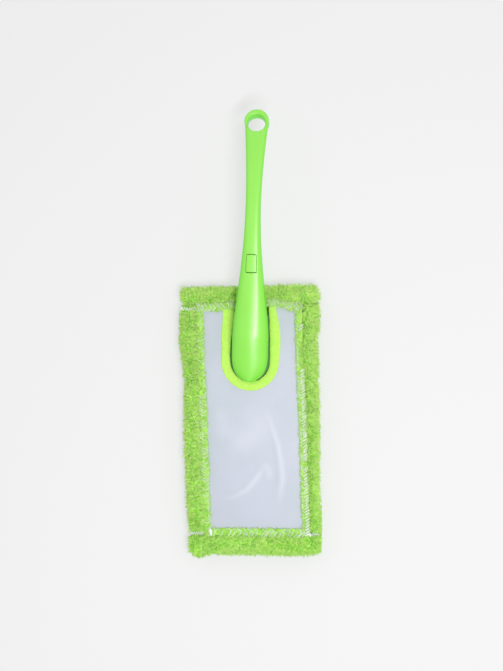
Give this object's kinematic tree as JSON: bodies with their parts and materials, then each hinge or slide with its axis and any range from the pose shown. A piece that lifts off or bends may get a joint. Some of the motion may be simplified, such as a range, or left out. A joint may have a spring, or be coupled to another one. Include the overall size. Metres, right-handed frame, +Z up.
{
  "type": "hand duster",
  "caption": "Flat hand duster: rectangular plush mitt with a smooth back panel on a flexible plate, and a bowed plastic handle that snaps onto a tongue and ends in a hanging ring.",
  "frame": {"origin": "on the floor under the middle of the whole duster, which lies on its plush face", "axes": "+Y from the plush mitt to the hanging ring, +Z up out of the back panel, +X across the mitt"},
  "size_m": [0.142, 0.447, 0.0541],
  "materials": {
    "plush": "lime green microfibre plush, 8 to 10 mm pile",
    "lining_cloth": "green knitted backing cloth",
    "panel_satin": "pale grey-lilac satin weave polyester",
    "binding_tape": "yellow-lime woven bias tape",
    "seam_thread": "white overlock thread over plush",
    "plate_plastic": "flexible lime polypropylene, satin moulded",
    "handle_plastic": "lime green polypropylene, smooth semi-gloss",
    "screw_steel": "zinc-plated countersunk screw"
  },
  "bodies": {
    "head": {"plush_face": "plush", "border_bottom": "plush", "border_top": "plush", "border_left": "plush", "border_right": "plush", "pocket_lining": "lining_cloth", "back_panel": "panel_satin", "notch_tape": "binding_tape", "seam_bottom": "seam_thread", "seam_top": "seam_thread", "seam_left": "seam_thread", "seam_right": "seam_thread", "head_plate": "plate_plastic", "handle_tongue": "plate_plastic", "tongue_screw_1": "screw_steel", "tongue_screw_2": "screw_steel", "tongue_screw_3": "screw_steel", "tongue_screw_4": "screw_steel"},
    "latch": {"release_latch": "handle_plastic"},
    "handle": {"handle_upper_shell": "handle_plastic", "handle_lower_shell": "handle_plastic"}
  },
  "joints": [
    {"name": "latch_press", "type": "hinge", "parent": "head", "child": "latch", "pos_m": [0, 0.03968, 0.03767], "axis": [-1, 0, 0], "range_deg": [0, 5.5], "stiffness_Nm_per_rad": 3.5},
    {"name": "handle_slide", "type": "slide", "parent": "head", "child": "handle", "axis": [0, 0.9848, 0.1736], "range_m": [0, 0.133], "deforming": ["release_latch"]}
  ]
}
